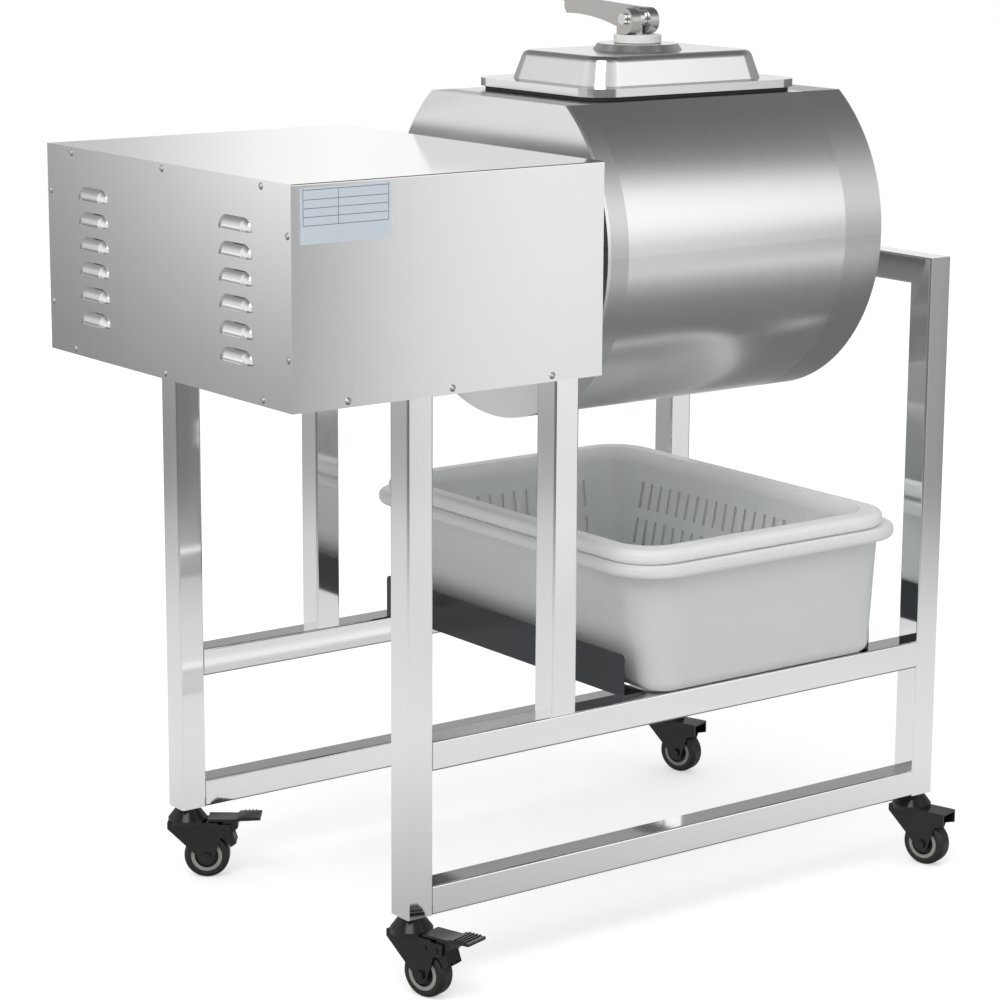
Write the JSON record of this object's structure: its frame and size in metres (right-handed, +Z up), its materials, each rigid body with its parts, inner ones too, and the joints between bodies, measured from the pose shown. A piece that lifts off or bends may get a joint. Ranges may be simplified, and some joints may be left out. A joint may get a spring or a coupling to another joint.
{
  "type": "meat vacuum tumbler",
  "caption": "Belt-driven stainless steel vacuum drum with a clamped lid on a wheeled square-tube frame, over a sliding tub and basket for tumbling and draining meat.",
  "frame": {"origin": "middle of the whole footprint, on the floor under the wheels", "axes": "+X along the drum axis from the drive housing to the far bearing, +Y to the back where the controls are, +Z up"},
  "size_m": [0.8641, 0.5496, 0.9516],
  "materials": {
    "polished_tube": "mirror-polished stainless steel",
    "satin_sheet": "satin-brushed stainless steel sheet",
    "drum_steel": "circumferentially brushed stainless steel",
    "lid_steel": "polished pressed stainless steel",
    "lever_steel": "cast and tumbled stainless steel",
    "rail_steel": "polished angle that mirrors the dark",
    "bright_screw": "bright plated",
    "black_coat": "gloss black coating",
    "black_rubber": "matte black rubber",
    "tyre_black": "smooth black polyurethane",
    "hub_grey": "warm grey nylon",
    "white_nylon": "white nylon",
    "tub_white": "translucent white polypropylene",
    "plate_blue": "pale blue-grey printed film",
    "cast_grey": "grey painted casting",
    "motor_paint": "dark grey enamel",
    "pipe_copper": "bright copper",
    "belt_rubber": "black rubber belt",
    "black_plastic": "black moulded plastic",
    "red_plastic": "red moulded plastic"
  },
  "bodies": {
    "frame": {"left_legs": "polished_tube", "mid_legs": "polished_tube", "right_legs": "polished_tube", "right_top_beam": "polished_tube", "lower_beams": "polished_tube", "mid_beams": "polished_tube", "rails": "rail_steel", "caster_stems": "bright_screw", "housing_cover": "satin_sheet", "housing_floor": "satin_sheet", "side_panel": "satin_sheet", "inner_wall": "satin_sheet", "housing_screws": "bright_screw", "rating_plate": "plate_blue", "drive_belt": "belt_rubber", "gearmotor": "motor_paint", "vacuum_pump": "motor_paint", "rotary_joint": "pipe_copper", "vacuum_pipe": "pipe_copper", "right_bearing": "cast_grey", "left_bearing": "cast_grey", "power_inlet": "black_plastic", "switch_bezel": "black_plastic", "vacuum_gauge": "bright_screw"},
    "drum": {"drum_shell": "drum_steel", "drum_left_end": "drum_steel", "drum_right_end": "drum_steel", "mouth_collar": "drum_steel", "baffles": "drum_steel", "left_shaft": "lid_steel", "right_shaft": "lid_steel", "drum_pulley": "cast_grey"},
    "motor_pulley": {"motor_pulley": "cast_grey"},
    "lid": {"lid_cover": "lid_steel", "lid_gasket": "black_rubber"},
    "clamp": {"thrust_washer": "white_nylon", "clamp_rod": "bright_screw", "clamp_bar": "lid_steel", "lever_pin": "bright_screw"},
    "lever": {"cam_lever": "lever_steel"},
    "tub": {"tub": "tub_white"},
    "basket": {"basket": "tub_white"},
    "rocker": {"rocker_switch": "red_plastic"},
    "knob": {"timer_knob": "black_plastic"},
    "front_left_caster": {"front_left_fork": "black_coat"},
    "front_left_wheel": {"front_left_hub": "hub_grey", "front_left_tyre": "tyre_black"},
    "front_left_brake": {"front_left_pedal": "black_coat"},
    "back_left_caster": {"back_left_fork": "black_coat"},
    "back_left_wheel": {"back_left_hub": "hub_grey", "back_left_tyre": "tyre_black"},
    "back_left_brake": {"back_left_pedal": "black_coat"},
    "front_right_caster": {"front_right_fork": "black_coat"},
    "front_right_wheel": {"front_right_hub": "hub_grey", "front_right_tyre": "tyre_black"},
    "back_right_caster": {"back_right_fork": "black_coat"},
    "back_right_wheel": {"back_right_hub": "hub_grey", "back_right_tyre": "tyre_black"}
  },
  "joints": [
    {"name": "drum_spin", "type": "hinge", "parent": "frame", "child": "drum", "pos_m": [0.1692, 0.018, 0.7095], "axis": [1, 0, 0], "continuous": true},
    {"name": "motor_spin", "type": "hinge", "parent": "frame", "child": "motor_pulley", "pos_m": [-0.1047, -0.1, 0.6915], "axis": [1, 0, 0], "continuous": true},
    {"name": "lid_lift", "type": "slide", "parent": "drum", "child": "lid", "axis": [0, 0, 1], "range_m": [0, 0.15]},
    {"name": "clamp_turn", "type": "hinge", "parent": "lid", "child": "clamp", "pos_m": [0.1692, 0.018, 0.9084], "axis": [0, 0, 1], "range_deg": [0, 90]},
    {"name": "cam_throw", "type": "hinge", "parent": "clamp", "child": "lever", "pos_m": [0.1692, 0.018, 0.9339], "axis": [1, 0, 0], "range_deg": [0, 90]},
    {"name": "tub_slide", "type": "slide", "parent": "frame", "child": "tub", "axis": [0, -1, 0], "range_m": [0, 0.43]},
    {"name": "basket_lift", "type": "slide", "parent": "tub", "child": "basket", "axis": [0, 0, 1], "range_m": [0, 0.09]},
    {"name": "rocker_tip", "type": "hinge", "parent": "frame", "child": "rocker", "pos_m": [-0.19933, 0.2482, 0.7518], "axis": [0, 0, 1], "range_deg": [0, 18]},
    {"name": "timer_turn", "type": "hinge", "parent": "frame", "child": "knob", "pos_m": [-0.28117, 0.247, 0.7518], "axis": [0, -1, 0], "range_deg": [0, 300]},
    {"name": "front_left_swivel", "type": "hinge", "parent": "frame", "child": "front_left_caster", "pos_m": [-0.278, -0.196, 0.062], "axis": [0, 0, 1], "continuous": true},
    {"name": "front_left_roll", "type": "hinge", "parent": "front_left_caster", "child": "front_left_wheel", "pos_m": [-0.27186, -0.21608, 0.025], "axis": [0.9563, 0.2924, 0], "continuous": true},
    {"name": "front_left_brake_press", "type": "hinge", "parent": "front_left_caster", "child": "front_left_brake", "pos_m": [-0.26631, -0.23425, 0.054], "axis": [0.9563, 0.2924, 0], "range_deg": [0, 8]},
    {"name": "back_left_swivel", "type": "hinge", "parent": "frame", "child": "back_left_caster", "pos_m": [-0.278, 0.232, 0.062], "axis": [0, 0, 1], "continuous": true},
    {"name": "back_left_roll", "type": "hinge", "parent": "back_left_caster", "child": "back_left_wheel", "pos_m": [-0.26123, 0.21936, 0.025], "axis": [0.6018, 0.7986, 0], "continuous": true},
    {"name": "back_left_brake_press", "type": "hinge", "parent": "back_left_caster", "child": "back_left_brake", "pos_m": [-0.24605, 0.20793, 0.054], "axis": [0.6018, 0.7986, 0], "range_deg": [0, 8]},
    {"name": "front_right_swivel", "type": "hinge", "parent": "frame", "child": "front_right_caster", "pos_m": [0.408, -0.196, 0.062], "axis": [0, 0, 1], "continuous": true},
    {"name": "front_right_roll", "type": "hinge", "parent": "front_right_caster", "child": "front_right_wheel", "pos_m": [0.41379, -0.21619, 0.025], "axis": [0.9613, 0.2756, 0], "continuous": true},
    {"name": "back_right_swivel", "type": "hinge", "parent": "frame", "child": "back_right_caster", "pos_m": [0.408, 0.232, 0.062], "axis": [0, 0, 1], "continuous": true},
    {"name": "back_right_roll", "type": "hinge", "parent": "back_right_caster", "child": "back_right_wheel", "pos_m": [0.41449, 0.21203, 0.025], "axis": [0.9511, 0.309, 0], "continuous": true}
  ],
  "couplings": [
    {"joint": "motor_spin", "follows": "drum_spin", "ratio": 2.8}
  ]
}
